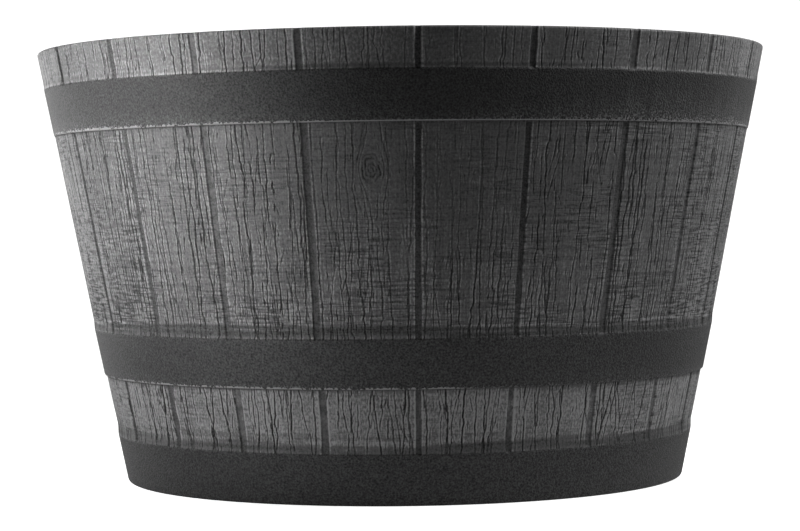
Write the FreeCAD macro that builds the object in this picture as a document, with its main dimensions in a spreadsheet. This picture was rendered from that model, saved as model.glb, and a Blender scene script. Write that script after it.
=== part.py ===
"""Half-barrel planter: one moulded tub with stave and hoop relief, and five push-in drain plugs.

Millimetres, +Z up. The origin is the middle of the ring that the tub stands on, and the front
of the planter looks along -Y. The outside is a cone, the stave face, that opens upwards. Seams are
sunk into it and hoops stand proud of it, and the tub still pulls straight out of its mould.
"""

import FreeCAD, Part
import math
import os
import Sketcher

SIZES = {
    # Tub: the cone of the stave face, the wall behind it, the floor and the ring under it.
    "rim_diameter": 520.6,
    "base_diameter": 397.2,
    "tub_height": 305.0,
    "wall": 6.0,
    "floor_thickness": 6.0,
    "floor_lift": 8.0,
    "foot_width": 16.0,
    "rim_bevel": 1.6,
    "foot_bevel": 2.2,
    "floor_bevel": 7.0,
    # Staves: seams run down the stave face between the hoops.
    "stave_count": 22,
    "seam_width": 3.6,
    "seam_depth": 2.0,
    "seam_turn": 2.45,
    "seam_dip": 1.5,
    # Hoops: raised bands, each running back into the staves over a short flare above it.
    "hoop_relief": 1.2,
    "hoop_flare": 6.0,
    "hoop_height": 32.0,
    "rim_margin": 25.5,
    "waist_hoop_lift": 77.5,
    "foot_hoop_height": 34.5,
    # Drain holes: one in the middle of the floor and a ring of them around it.
    "drain_diameter": 16.0,
    "drain_ring_radius": 100.0,
    # Drain plugs: a flange that lies on the floor, a stem through the hole and a tab to pull.
    "plug_clearance": 0.3,
    "stem_taper": 0.5,
    "stem_reach": 3.0,
    "stem_nose": 1.2,
    "flange_lap": 5.5,
    "flange_thickness": 2.6,
    "tab_width": 13.0,
    "tab_height": 12.0,
    "tab_thickness": 3.4,
    "tab_round": 4.5,
}

# The plugs of the ring, each with its turn about Z from +X in degrees.
RING_PLUGS = {
    "drain_plug_right": 0.0,
    "drain_plug_back": 90.0,
    "drain_plug_left": 180.0,
    "drain_plug_front": 270.0,
}

doc = FreeCAD.newDocument("barrel_planter")
sheet = doc.addObject("Spreadsheet::Sheet", "sizes")
for row, (alias, value) in enumerate(SIZES.items(), start=1):
    sheet.set(f"A{row}", alias)
    sheet.set(f"B{row}", str(value))
    sheet.setAlias(f"B{row}", alias)
doc.recompute()

FLOOR_TOP = "sizes.floor_lift + sizes.floor_thickness"

# Two places closer than this are the same place.
NEAR = 1e-4


def stave_radius(height):
    """Formula for the radius of the stave face at a height."""
    spread = "(sizes.rim_diameter - sizes.base_diameter) / 2"
    return f"sizes.base_diameter / 2 + {spread} * ({height}) / sizes.tub_height"


def origin_part(body, role):
    """One of the body's own origin planes or axes."""
    return next(part for part in body.Origin.OriginFeatures if part.Role == role)


def new_sketch(body, name, plane):
    """An empty sketch on one of the body's own origin planes."""
    sketch = body.newObject("Sketcher::SketchObject", name)
    sketch.AttachmentSupport = [(origin_part(body, plane), "")]
    sketch.MapMode = "FlatFace"
    return sketch


def bind(sketch, formula, *constraint):
    """A constraint whose value follows a formula of the sheet's sizes."""
    index = sketch.addConstraint(Sketcher.Constraint(*constraint, 1.0))
    sketch.setExpression(f"Constraints[{index}]", formula)


def draw_outline(sketch, corners):
    """A closed outline of straight edges whose corners have bound coordinates.

    The corners start out on a circle and the constraints carry them to their places. A coordinate
    of "0" keeps its corner on the sketch's own axis.
    """
    first = sketch.GeometryCount
    count = len(corners)
    turn = 2 * math.pi / count
    spots = [FreeCAD.Vector(math.cos(turn * n), math.sin(turn * n), 0) for n in range(count)]
    for n in range(count):
        sketch.addGeometry(Part.LineSegment(spots[n], spots[(n + 1) % count]), False)
    for n in range(count):
        follower = first + (n + 1) % count
        sketch.addConstraint(Sketcher.Constraint("Coincident", first + n, 2, follower, 1))
    for n, (across, up) in enumerate(corners):
        for direction, axis, formula in (("DistanceX", -2, across), ("DistanceY", -1, up)):
            if formula == "0":
                sketch.addConstraint(Sketcher.Constraint("PointOnObject", first + n, 1, axis))
            else:
                bind(sketch, formula, direction, -1, 1, first + n, 1)


def draw_hole(sketch, offset):
    """A drain hole's circle, centred on the sketch's first axis at a bound offset."""
    circle = Part.Circle(FreeCAD.Vector(1, 0, 0), FreeCAD.Vector(0, 0, 1), 1.0)
    index = sketch.addGeometry(circle, False)
    bind(sketch, "sizes.drain_diameter", "Diameter", index)
    if offset == "0":
        sketch.addConstraint(Sketcher.Constraint("Coincident", index, 3, -1, 1))
    else:
        sketch.addConstraint(Sketcher.Constraint("PointOnObject", index, 3, -1))
        bind(sketch, offset, "DistanceX", -1, 1, index, 3)


def revolve(body, name, corners):
    """A full turn about the body's Z axis of an outline of (radius, height) corners."""
    sketch = new_sketch(body, name + "_outline", "XZ_Plane")
    draw_outline(sketch, corners)
    feature = body.newObject("PartDesign::Revolution", name)
    feature.Profile = sketch
    feature.ReferenceAxis = (origin_part(body, "Z_Axis"), [""])
    feature.Angle = 360.0
    doc.recompute()


def cut_through(body, name, sketch):
    """A pocket from the sketch's plane up through everything above it."""
    feature = body.newObject("PartDesign::Pocket", name)
    feature.Profile = sketch
    feature.Type = "ThroughAll"
    feature.Reversed = True
    doc.recompute()
    return feature


def repeat_round(body, name, feature, count):
    """The feature repeated at even turns about the body's Z axis."""
    pattern = body.newObject("PartDesign::PolarPattern", name)
    pattern.Originals = [feature]
    pattern.Axis = (origin_part(body, "Z_Axis"), [""])
    pattern.Angle = 360.0
    pattern.setExpression("Occurrences", count)
    body.Tip = pattern
    doc.recompute()


def bevel_circles(body, name, width, height):
    """A chamfer on every circular edge that the body's shape has at a height."""
    base = body.Tip
    chosen = []
    for index, edge in enumerate(base.Shape.Edges, start=1):
        if isinstance(edge.Curve, Part.Circle) and abs(edge.Curve.Center.z - height) < NEAR:
            chosen.append(f"Edge{index}")
    feature = body.newObject("PartDesign::Chamfer", name)
    feature.Base = (base, chosen)
    feature.setExpression("Size", width)
    doc.recompute()


def make_shell(tub):
    """The smooth cone of the tub: wall, floor and the ring that it stands on, with bevelled edges."""
    recess_radius = "sizes.base_diameter / 2 - sizes.foot_width"
    revolve(tub, "shell", [
        (recess_radius, "0"),
        (stave_radius("0"), "0"),
        (stave_radius("sizes.tub_height"), "sizes.tub_height"),
        (stave_radius("sizes.tub_height") + " - sizes.wall", "sizes.tub_height"),
        (stave_radius(FLOOR_TOP) + " - sizes.wall", FLOOR_TOP),
        ("0", FLOOR_TOP),
        ("0", "sizes.floor_lift"),
        (recess_radius, "sizes.floor_lift"),
    ])
    bevel_circles(tub, "rim_edges", "min(sizes.rim_bevel; 0.45 * sizes.wall)", sheet.tub_height)
    bevel_circles(tub, "floor_corner", "sizes.floor_bevel", sheet.floor_lift + sheet.floor_thickness)


def make_hoop(tub, name, bottom, top):
    """One hoop: a band proud of the stave face with a sharp lower lip and a flare over its top.

    The band is rooted halfway into the wall. The flare starts at the band's upper edge and meets
    the stave face again at its own height above that edge.
    """
    flared = f"{top} + sizes.hoop_flare"
    revolve(tub, name, [
        (stave_radius(bottom) + " - sizes.wall / 2", bottom),
        (stave_radius(bottom) + " + sizes.hoop_relief", bottom),
        (stave_radius(top) + " + sizes.hoop_relief", top),
        (stave_radius(flared), flared),
        (stave_radius(flared) + " - sizes.wall / 2", flared),
    ])


def make_seams(tub, stretches):
    """The seams between staves: a flat-bottomed groove down each stretch between two hoops.

    The first seam stands seam_turn to the right of the front, and the rest follow at even turns.
    """
    sketch = new_sketch(tub, "seam_outline", "XZ_Plane")
    upright = FreeCAD.Vector(0, 1, 0)
    sketch.AttachmentOffset = FreeCAD.Placement(FreeCAD.Vector(), FreeCAD.Rotation(upright, 1.0))
    sketch.setExpression("AttachmentOffset.Rotation.Angle", "sizes.seam_turn - 90")
    for bottom, top in stretches:
        draw_outline(sketch, [
            (stave_radius(bottom) + " - sizes.seam_depth", bottom),
            (stave_radius(bottom) + " + sizes.wall", bottom),
            (stave_radius(top) + " + sizes.wall", top),
            (stave_radius(top) + " - sizes.seam_depth", top),
        ])
    seam = tub.newObject("PartDesign::Pocket", "seam")
    seam.Profile = sketch
    seam.SideType = "Symmetric"
    seam.setExpression("Length", "sizes.seam_width")
    doc.recompute()
    repeat_round(tub, "seams", seam, "sizes.stave_count")


def make_drains(tub):
    """The drain holes through the floor: one in the middle and the ring around it."""
    middle = new_sketch(tub, "middle_drain_outline", "XY_Plane")
    draw_hole(middle, "0")
    cut_through(tub, "middle_drain", middle)
    ring = new_sketch(tub, "ring_drain_outline", "XY_Plane")
    draw_hole(ring, "sizes.drain_ring_radius")
    drain = cut_through(tub, "ring_drain", ring)
    repeat_round(tub, "ring_drains", drain, str(len(RING_PLUGS)))


def make_tub():
    """The moulded tub, its relief and its drain holes."""
    tub = doc.addObject("PartDesign::Body", "tub")
    top_hoop_top = "sizes.tub_height - sizes.rim_margin"
    top_hoop_bottom = f"{top_hoop_top} - sizes.hoop_height"
    waist_hoop_top = "sizes.waist_hoop_lift + sizes.hoop_height"
    make_shell(tub)
    make_hoop(tub, "top_hoop", top_hoop_bottom, top_hoop_top)
    make_hoop(tub, "waist_hoop", "sizes.waist_hoop_lift", waist_hoop_top)
    make_hoop(tub, "foot_hoop", "0", "sizes.foot_hoop_height")
    bevel_circles(tub, "foot_edges", "min(sizes.foot_bevel; 0.4 * sizes.foot_width)", 0.0)
    make_seams(tub, [
        ("sizes.foot_hoop_height - sizes.seam_dip", "sizes.waist_hoop_lift"),
        (f"{waist_hoop_top} - sizes.seam_dip", top_hoop_bottom),
        (f"{top_hoop_top} - sizes.seam_dip", "sizes.tub_height + sizes.wall"),
    ])
    make_drains(tub)
    return tub


def make_plug(name):
    """One drain plug, built upwards from the tip of its stem: stem, flange, then the pull tab."""
    plug = doc.addObject("PartDesign::Body", name)
    stem_radius = "sizes.drain_diameter / 2 - sizes.plug_clearance"
    flange_radius = "sizes.drain_diameter / 2 + sizes.flange_lap"
    seat = "sizes.floor_thickness + sizes.stem_reach"
    flange_top = f"{seat} + sizes.flange_thickness"
    revolve(plug, name + "_stem", [
        ("0", "0"),
        (f"{stem_radius} - sizes.stem_taper - sizes.stem_nose", "0"),
        (f"{stem_radius} - sizes.stem_taper", "sizes.stem_nose"),
        (stem_radius, seat),
        (flange_radius, seat),
        (flange_radius, flange_top),
        ("0", flange_top),
    ])
    sketch = new_sketch(plug, name + "_tab_outline", "XZ_Plane")
    draw_outline(sketch, [
        ("-sizes.tab_width / 2", seat),
        ("sizes.tab_width / 2", seat),
        ("sizes.tab_width / 2", f"{flange_top} + sizes.tab_height"),
        ("-sizes.tab_width / 2", f"{flange_top} + sizes.tab_height"),
    ])
    tab = plug.newObject("PartDesign::Pad", name + "_tab")
    tab.Profile = sketch
    tab.SideType = "Symmetric"
    tab.setExpression("Length", "sizes.tab_thickness")
    doc.recompute()
    top = plug.Shape.BoundBox.ZMax
    corners = []
    for index, edge in enumerate(tab.Shape.Edges, start=1):
        along = edge.lastVertex().Point - edge.firstVertex().Point
        if abs(along.y) > NEAR and abs(edge.CenterOfMass.z - top) < NEAR:
            corners.append(f"Edge{index}")
    rounded = plug.newObject("PartDesign::Fillet", name + "_tab_corners")
    rounded.Base = (tab, corners)
    rounded.setExpression("Radius", "min(sizes.tab_round; 0.45 * sizes.tab_width)")
    plug.setExpression("Placement.Base.z", "sizes.floor_lift - sizes.stem_reach")
    doc.recompute()
    return plug


def make_ring_plug(name, turn):
    """A drain plug in the hole of the ring that lies at this turn from +X."""
    plug = make_plug(name)
    plug.Placement.Rotation = FreeCAD.Rotation(FreeCAD.Vector(0, 0, 1), turn)
    plug.setExpression("Placement.Base.x", f"sizes.drain_ring_radius * cos({turn} deg)")
    plug.setExpression("Placement.Base.y", f"sizes.drain_ring_radius * sin({turn} deg)")
    doc.recompute()
    return plug


parts = [make_tub(), make_plug("drain_plug_middle")]
for name, turn in RING_PLUGS.items():
    parts.append(make_ring_plug(name, turn))

for item in doc.Objects:
    bad = [state for state in item.State if state in ("Invalid", "Error")]
    if bad:
        raise RuntimeError(f"{item.Label} failed: {bad}")

os.makedirs("parts", exist_ok=True)
for part in parts:
    if part.Shape.isNull() or not part.Shape.isValid():
        raise RuntimeError(f"{part.Label} has no valid shape")
    part.Shape.exportStep(f"parts/{part.Label}.step")
    print(part.Label, len(part.Shape.Solids), round(part.Shape.Volume / 1000, 1), "cm3")
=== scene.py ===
"""Barrel planter: one moulded resin tub with the relief of staves and hoops, and five push-in drain plugs.

Lengths in the shape functions are millimetres, and the meshes are laid in metres. Turn is the angle round
the tub from its front, -Y, towards +X.
"""
import math
import bpy
import numpy as np
from mathutils import Euler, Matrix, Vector


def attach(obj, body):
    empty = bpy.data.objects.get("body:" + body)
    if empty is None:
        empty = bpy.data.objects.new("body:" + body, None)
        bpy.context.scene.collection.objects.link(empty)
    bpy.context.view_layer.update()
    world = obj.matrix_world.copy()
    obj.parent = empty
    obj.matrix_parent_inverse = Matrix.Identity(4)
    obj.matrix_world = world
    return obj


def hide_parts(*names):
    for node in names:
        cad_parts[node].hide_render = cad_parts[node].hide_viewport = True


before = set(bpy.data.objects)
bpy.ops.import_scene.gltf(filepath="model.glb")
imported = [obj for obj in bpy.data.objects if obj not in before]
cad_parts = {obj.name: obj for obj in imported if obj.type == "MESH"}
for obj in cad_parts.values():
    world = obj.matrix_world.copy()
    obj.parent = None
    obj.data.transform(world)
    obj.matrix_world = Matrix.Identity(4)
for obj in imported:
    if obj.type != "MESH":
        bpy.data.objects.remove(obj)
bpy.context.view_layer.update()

MM = 0.001

# The tub's wall
STAVES = 22
COLUMNS = 168
STAVES_PER_SIDE = 2
SEAM_TURN = math.radians(2.45)
STAVE_TURN = 2 * math.pi / STAVES
FACE_FOOT = 198.6
FACE_SLOPE = 0.2023
FACE_INSET = 0.12
TALL = 305.0
WALL = 6.0
HOOPS = ((0.0, 34.5), (76.7, 109.5), (246.6, 279.5))
FLARE = 6.0
# How far the faces stand out from a straight cone, by height: foot hoop, low panel, waist hoop, long panel,
# top hoop and rim
STEP_HEIGHTS = (0.0, 34.5, 40.5, 76.69, 76.7, 109.5, 115.5, 246.59, 246.6, 279.5, 284.5, 305.0)
STEP_OUT = (1.15, 1.2, 0.15, 0.25, 1.65, 1.75, 0.95, 0.05, 0.62, 0.62, 0.12, 0.12)
# Rows of the grid above a hoop's lower lip and about its top edge
LIP_ROWS = (0.0, 0.35, 0.8, 1.4, 2.2, 3.4)
TOP_ROWS = (-1.2, -0.5, 0.2)
LIP_ROUND = 0.8
LIP_BACK = 0.45
SEAM_HALF = 1.8
SEAM_DEEP = 1.2
SEAM_WIDER = 0.3
SEAM_WALL = 0.5
# How far seams lie from an even spacing on the right and on the left, in radians
SHIFT_RIGHT = 0.0166
SHIFT_LEFT = 0.0062
# Lightness of the seams' floors, by turn in degrees: at the long panel's top and at its foot. Their own dark
# tone carries painted light and shade, lighter where a groove's floor falls in shadow and darker where a
# lamp lights it
SEAM_TURNS = (-180, -85, -63, -47, -30, -14, 2.5, 19, 35, 52, 80, 180)
SEAM_TONE_AND_PAINTED_LIGHT_HIGH = (0.38, 0.3, 0.05, 0.05, 0.52, 0.42, 0.13, 0.2, 0.46, 0.5, 0.34, 0.38)
SEAM_TONE_AND_PAINTED_LIGHT_LOW = (0.38, 0.3, 0.12, 0.25, 0.58, 0.5, 0.36, 0.46, 0.6, 0.6, 0.34, 0.38)
CRACK_DEEP = 0.78
CRACK_EDGE = 0.34
CRACK_MARGIN = 6.0
CRACK_PIVOT = 150.0
LOW_PANEL_TOP = 77.0
LIP_PROUD = 0.1
ROW_PITCH = 1.5
BAND = 13.0
# Random lines, each scale as how far it strays and its reach: along a crack, in its opening, in its width,
# along a seam's wall, and round the tub in grid columns
CRACK_WANDER = ((1.4, 62), (0.55, 14), (0.42, 4.6), (0.22, 2.1))
CRACK_WAVE = ((0.75, 42), (0.35, 13))
CRACK_SWELL = ((0.07, 30), (0.12, 3.6))
SEAM_RAGGED = ((0.28, 24), (0.14, 3.1))
ROUND_RAGGED = ((0.4, 90), (0.35, 16), (0.65, 3))
# First numbers of the random draws
STAVE_SEED = 700
RAGGED_SEED = 41
STREAK_SEED = 43

# The tub's foot and floor
FOOT_ROUND = 2.0
RIM_ROUND = 1.8
RECESS_RADIUS = 182.6
FLOOR_UNDER = 8.0
FLOOR_TOP = 14.0
FLOOR_BEVEL = 7.0
FLOOR_DISC = 180.0
FLOOR_SPLIT = 50.0
DRAIN_RADIUS = 8.0
DRAIN_RING = 100.0

# Knots by stave: place across the stave and height, and the closer rows over the front one
KNOT_ROWS = (206.0, 228.0)
KNOT_PITCH = 0.9
KNOTS = {21: (6.0, 217.0), 5: (-9.0, 165.0), 10: (7.0, 205.0), 15: (-5.0, 58.0)}
KNOT_RADIUS = 9.5
KNOT_RING = 2.6
KNOT_PUSH = 7.5
# Staves with shallow cracks in their upper half, and the share of the depth that is gone there
SHALLOW = {21: 0.4, 0: 0.5}

# Sides of the tub for the brushed finish, its saw marks and its painted light and shade, by the sine of the
# turn, as where each begins and the run to its full
RIGHT = (-0.05, 0.35)
FAR_RIGHT = (0.3, 0.35)
SAWN_RIGHT = (0.15, 0.3)
LEFT = (0.35, 0.35)
LEFT_FRONT = (0.12, 0.2)
# Lightness of the staves by height, and of saw marks by height
TONE_HEIGHTS = (70, 95, 150, 215, 250, 280)
TONE_LIGHT = (1.55, 1.12, 1.12, 0.95, 0.95, 1.03)
SAW_HEIGHTS = (0, 77, 110, 118, 150, 200, 247, 279, 290)
SAW_SHARE = (0.55, 0.4, 1.3, 1.3, 1, 0.7, 0.7, 0.3, 0.25)
# Brushing left above a hoop, by height over its top edge: the lower two, and the top one's side and front
LOW_BAND = ((-0.4, 0.3, 1.4, 2.4, 4.2, 7.8), (0, 0.46, 0.42, 0.28, 0.45, 1.0))
TOP_BAND_SIDE = ((-0.4, 0.2, 1.0, 2.2, 4.5), (0, 1.3, 1.2, 0.8, 1.0))
TOP_BAND_FRONT = ((-0.4, 0.2, 0.8, 1.4, 2.2, 3.2), (0, 1.2, 0.9, 0.4, 0.5, 1.0))
# How light the edge along each hoop's top is
EDGE_LIGHT = (0.75, 0.9, 1.1)
# Which ragged line is used where
RAGGED_LINES = 11
RAGGED_BAND = 3
RAGGED_LIP = 6
RAGGED_SPECKS = 9
RAGGED_EDGE = 10

# The baking map of a wall piece, in shares of its square: the outside, the inside above it, and the two cut
# ends side by side in a strip along the top
MAP_MARGIN = 0.01
MAP_OUTSIDE = 0.79
MAP_INSIDE_FROM = 0.805
MAP_INSIDE = 0.175
END_FROM = (0.02, 0.986)
END_SIZE = (0.4, 0.01)
END_APART = 0.45
END_RADIUS = 170.0
# The grain's map in metres: a stave's width, and the step from one stave's grain to the next
GRAIN_WIDE = 0.066
GRAIN_STEP = 0.31
INSIDE_PEBBLING = 0.5
FLOOR_PEBBLING = 0.6


def ease(value):
    """A ramp from 0 to 1 with soft ends: three squares less two cubes of the value, held to 0 to 1."""
    value = np.clip(value, 0, 1)
    return value * value * (3 - 2 * value)


def drift(dice, along, reach, hold=0.0):
    """A slow random line: levels from -1 to 1 drawn every reach along the axis, each held for a share of the
    reach and then eased into the next."""
    place = (along - along.min()) / reach + dice.uniform(0, 1)
    level = dice.uniform(-1, 1, int(place.max()) + 3)
    step = place.astype(int)
    blend = ease((place - step - hold) / (1 - hold))
    return level[step] * (1 - blend) + level[step + 1] * blend


def wander(dice, along, scales):
    """A random line: the sum of slow lines, each given by how far it strays and its reach."""
    return sum(far * drift(dice, along, reach) for far, reach in scales)


def from_front(turn):
    """A turn as an angle from the front, from minus to plus half a round."""
    return (turn + np.pi) % (2 * np.pi) - np.pi


def to_side(turn):
    """0 on the front staves and 1 from a sixth of the way round: eased over the turn's size between them."""
    return ease((np.abs(from_front(turn)) - 0.35) / 0.6)


def on_flank(turn):
    """1 on the tub's two flanks and 0 at its front and back: eased in from a tenth of the way round to a
    seventh, and out again past the quarter."""
    away = np.abs(from_front(turn))
    return ease((away - 0.55) / 0.3) * ease((2.2 - away) / 0.6)


def towards_right(turn, start, run):
    """A share for each turn that grows towards the tub's right: the turn's sine less start, over run, eased.
    With the turn's sign changed it grows towards the left."""
    return ease((np.sin(turn) - start) / run)


def seam_shift(turn):
    """How far the staves' seams lie from an even spacing, in radians: up to a degree towards the side on the
    right flank and a third of one on the left, eased in from the front and out again towards the back."""
    away = from_front(turn)
    right = ease((away - 0.4) / 0.5) * ease((1.92 - away) / 1.0)
    left = ease((0.06 - away) / 0.3) * ease((1.92 + away) / 0.8)
    return SHIFT_RIGHT * right - SHIFT_LEFT * left


def face(height):
    """Radius of the stave face: it grows in a straight line from foot to rim, a hair inside the solid's."""
    return FACE_FOOT - FACE_INSET + FACE_SLOPE * height


# Relief of one stave

def cut_along(across, line, half, opened):
    """A crack along a line: full depth within half of the line, out to nothing over a third of a millimetre,
    and a thin raised lip just outside it. Both are scaled by how far the crack is open at that height."""
    away = np.abs(across - line[:, None])
    cut = np.clip((half[:, None] - away) / CRACK_EDGE + 0.5, 0, 1) * opened[:, None]
    lip = np.exp(-((away - half[:, None] - 0.5) / 0.35) ** 2) * opened[:, None]
    return cut, lip


def round_knot(line, height, knot):
    """A crack's line bent round a knot: pushed aside, most at the knot's height and close beside it."""
    if knot is None:
        return line
    beside = line - knot[0]
    push = np.exp(-((height - knot[1]) / 17) ** 2) * np.exp(-np.abs(beside) / 9)
    return line + np.where(beside < 0, -1, 1) * KNOT_PUSH * push


def long_cracks(dice, height, width, wide, more):
    """Lines, half widths, opening and depth share of a stave's long cracks: spread across the stave, each
    line leaning a little, wandering at four scales and jumping sideways now and then, open where a slow wave
    with beads on it lies above a level. Some fork."""
    found = []
    count = int(dice.integers(13, 18) * more)
    slots = (np.arange(count) + dice.uniform(0.05, 0.95, count)) / count - 0.5
    shared_lean = dice.normal(0, 0.012)
    for slot in slots:
        lean = shared_lean + dice.normal(0, 0.014)
        line = slot * (width - CRACK_MARGIN) + lean * (height - CRACK_PIVOT)
        line = line + wander(dice, height, CRACK_WANDER)
        line = line + 0.8 * drift(dice, height, 24, hold=0.9)
        line = line + dice.normal(0, 0.1) * np.clip(LOW_PANEL_TOP - height, 0, None)
        keep = dice.uniform(-0.1, 1.0)
        wave = wander(dice, height, CRACK_WAVE)
        wave = wave + dice.uniform(0.1, 0.5) * drift(dice, height, 3.6)
        opened = np.clip((wave + keep) / 0.24, 0, 1)
        half = 0.34 + wander(dice, height, CRACK_SWELL)
        half = wide * half * dice.uniform(0.75, 1.25) * (0.7 + 0.3 * opened)
        found.append((line, half, opened, dice.uniform(0.7, 1.0)))
        if dice.uniform() < 0.4:
            fork = dice.uniform(45, 275)
            run = dice.uniform(25, 75) * dice.choice([-1, 1])
            part = (height - fork) / run
            apart = dice.choice([-1, 1]) * dice.uniform(2.2, 6.5) * np.clip(part, 0, None) ** 0.85
            forked = opened.max() * ease((part + 0.02) / 0.06) * ease((1 - part) / 0.15)
            found.append((line + apart, half, forked, 0.85))
    return found


def short_checks(dice, height, width, wide):
    """Lines, half widths, opening and depth share of a stave's short checks, most of them ticks of a few
    millimetres, and every twelfth one long and slanted."""
    found = []
    for number in range(int(dice.integers(110, 150))):
        middle = dice.uniform(HOOPS[0][1] + 1.5, TALL - 2)
        reach = 1.1 + 5.5 * dice.uniform() ** 2.5
        lean = dice.normal(0, 0.22)
        if number % 12 == 0:
            reach = dice.uniform(9, 20)
            lean = dice.choice([-1, 1]) * dice.uniform(0.08, 0.26)
        line = dice.uniform(-0.47, 0.47) * width + lean * (height - middle)
        line = line + 0.4 * drift(dice, height, 3.5)
        opened = np.clip(1.3 - ((height - middle) / reach) ** 2, 0, 1)
        half = wide * (0.28 + 0.16 * drift(dice, height, 2.6))
        found.append((line, half, opened, dice.uniform(0.45, 0.95)))
    return found


def knot_rings(height, across, knot):
    """A knot: thin rings wound into a spiral about its middle, out of round and broken up round the turn, an
    upright ellipse that is gone past its edge."""
    beside = across - knot[0]
    above = height[:, None] - knot[1]
    around = np.arctan2(above, beside)
    away = np.hypot(beside / 0.8, above)
    uneven = 0.1 * np.sin(2 * around + 1.1) + 0.09 * np.sin(3 * around - 0.6)
    uneven = uneven + 0.05 * np.sin(7 * around + 2)
    away = away * (1 + uneven * ease(away / 4))
    ring = 0.5 - 0.5 * np.cos(2 * np.pi * away / KNOT_RING + around)
    broken = 0.75 + 0.5 * np.sin(3 * around + 1.3 * away) + 0.3 * np.sin(5 * around - away)
    return ring ** 1.4 * np.clip(broken, 0, 1) * ease((KNOT_RADIUS - away) / 2.0)


def seam_cut(dice, height, across, width, edges):
    """The half grooves at a stave's two edges, given by their turns: flat floor, steep ragged wall, thin
    raised lip. They are wider left of the front and on the right flank than just right of the front, and the
    lip is faint left of the seams right of the front."""
    half_width = width[:, None] / 2
    wider = np.maximum(ease((edges - 0.25) / 0.3), ease((0.1 - edges) / 0.3))
    half_left, half_right = SEAM_HALF * (1 + SEAM_WIDER * wider)
    left = half_left + wander(dice, height, SEAM_RAGGED)
    right = half_right + wander(dice, height, SEAM_RAGGED)
    into_left = across + half_width - left[:, None]
    into_right = half_width - across - right[:, None]
    into = np.minimum(into_left, into_right)
    cut = np.clip(0.5 - into / SEAM_WALL, 0, 1)
    lip = np.exp(-((into - 0.75) / 0.5) ** 2)
    faint = 0.3 if 0.2 < edges[1] < 0.8 else 1.0
    return cut, np.where(into_right < into_left, faint * lip, lip)


def stave_relief(number, height):
    """One stave on its grid: depth below its face in millimetres, and lightness of the brushed finish: 1
    on open faces, below 0 deep in cracks, where it is painted shade, part way in the streaky floors of
    seams, whose level by turn is painted light and shade, and above 1 on lips."""
    dice = np.random.default_rng(STAVE_SEED + number)
    width = face(height) * STAVE_TURN
    share = np.arange(COLUMNS + 1) / COLUMNS - 0.5
    across = share * width[:, None]
    knot = KNOTS.get(number)
    deep = np.zeros_like(across)
    lips = np.zeros_like(across)
    middle = SEAM_TURN + (number + 0.5) * STAVE_TURN
    flank = on_flank(middle)
    wide = 1 + 0.35 * to_side(middle) + (0.3 if math.sin(middle) < 0 else -0.1) * flank
    cracks = long_cracks(dice, height, width, wide, 1 + 0.35 * flank)
    cracks = cracks + short_checks(dice, height, width, wide)
    for line, half, opened, depth in cracks:
        line = round_knot(line, height, knot)
        rows = opened > 0
        cut, lip = cut_along(across[rows], line[rows], half[rows], opened[rows])
        deep[rows] = np.maximum(deep[rows], cut * depth)
        lips[rows] = np.maximum(lips[rows], lip * depth)
    kept = 1 - SHALLOW.get(number, 0) * ease((height - 140) / 60)
    deep = deep * kept[:, None]
    lips = lips * kept[:, None]
    if knot is not None:
        deep = np.maximum(deep, 0.8 * knot_rings(height, across, knot))
    swell = sum(drift(dice, height, 34)[:, None] * drift(dice, share * 64, 13) for _ in range(3))
    edges = from_front(middle + np.array([-0.5, 0.5]) * STAVE_TURN)
    seam, seam_lip = seam_cut(dice, height, across, width, edges)
    edges = np.degrees(edges)
    # Painted light and shade: the seams' floors are lighter by turn where a groove falls in shadow and
    # darker where a lamp lights it
    lighter = ease((250 - height) / 190)[:, None]
    seam_floor_tone_and_painted_light = np.interp(edges, SEAM_TURNS, SEAM_TONE_AND_PAINTED_LIGHT_HIGH) * (1 - lighter)
    seam_floor_tone_and_painted_light = seam_floor_tone_and_painted_light + np.interp(edges, SEAM_TURNS, SEAM_TONE_AND_PAINTED_LIGHT_LOW) * lighter
    seam_floor_tone_and_painted_light = np.where(across < 0, seam_floor_tone_and_painted_light[:, :1], seam_floor_tone_and_painted_light[:, 1:])
    seam_floor_tone_and_painted_light = seam_floor_tone_and_painted_light + 0.06 * drift(dice, height, 70)[:, None]
    seam_floor_tone_and_painted_light = seam_floor_tone_and_painted_light * (1 + 0.6 * drift(dice, height, 2.4)[:, None])
    lips = np.maximum(lips * (1 - deep), (1.3 - 0.9 * flank) * seam_lip)
    below = CRACK_DEEP * deep - LIP_PROUD * np.minimum(lips, 1) + 0.09 * swell + 0.1
    below = below * (1 - seam) + SEAM_DEEP * seam
    # Below 0 deep in cracks the lightness is painted shade on the bare resin
    light = (1 - 1.5 * deep) * (1 + 0.95 * lips) * (1 - seam) + seam_floor_tone_and_painted_light * seam
    light = light * (1 + 0.04 * dice.normal() + 0.07 * swell)
    return below, np.clip(light, -0.5, 2)


# The section of the tub's wall

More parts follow.
